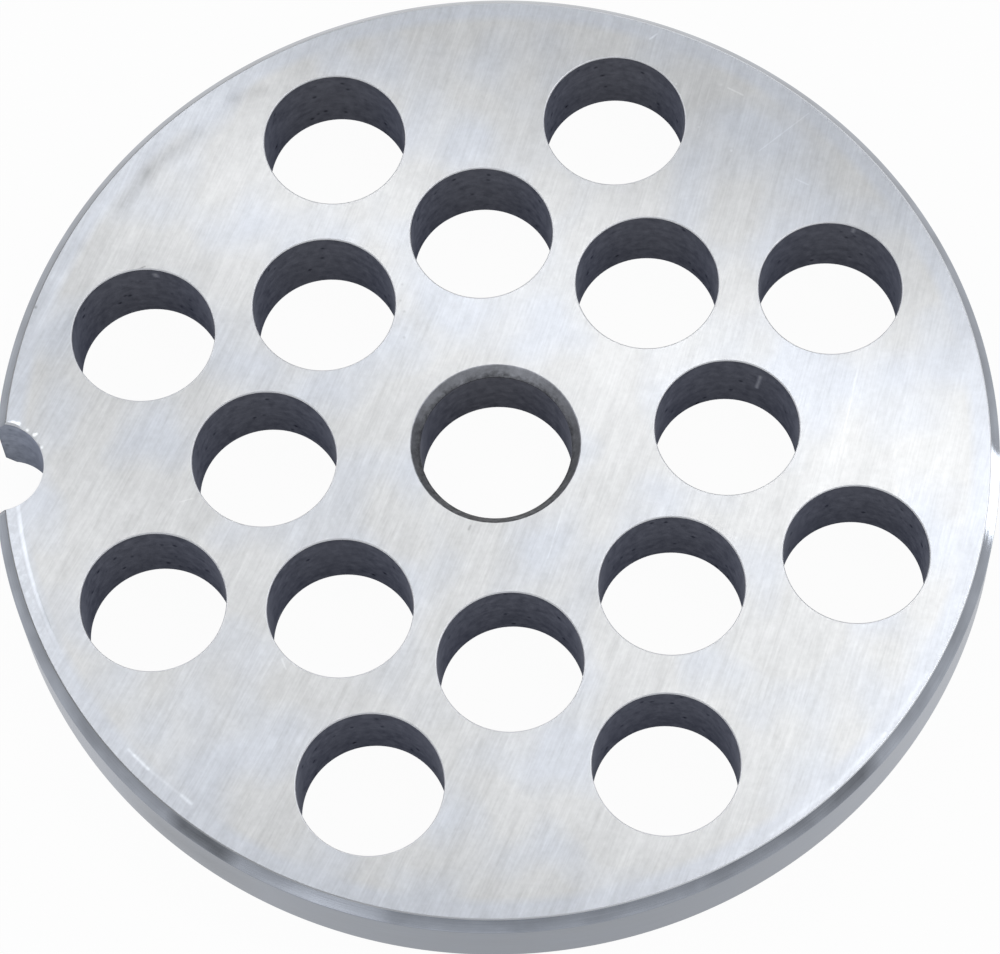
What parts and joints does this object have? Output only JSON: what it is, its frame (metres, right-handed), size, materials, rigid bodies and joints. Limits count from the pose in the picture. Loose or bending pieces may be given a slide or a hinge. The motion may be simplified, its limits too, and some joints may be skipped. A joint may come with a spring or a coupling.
{
  "type": "meat grinder plate",
  "caption": "Round steel grinder plate with staggered rings of round holes, a chamfered centre bore, chamfered rim edges and a half-round locating notch.",
  "frame": {"origin": "on the plate's axis, in its lower face", "axes": "+Z along the bore, up through the plate; the locating notch is on the -X side; both faces are the same, so either can be up"},
  "size_m": [0.0694, 0.0694, 0.007],
  "materials": {
    "steel": "ground"
  },
  "bodies": {
    "root": {"grinder_plate": "steel"}
  },
  "joints": []
}
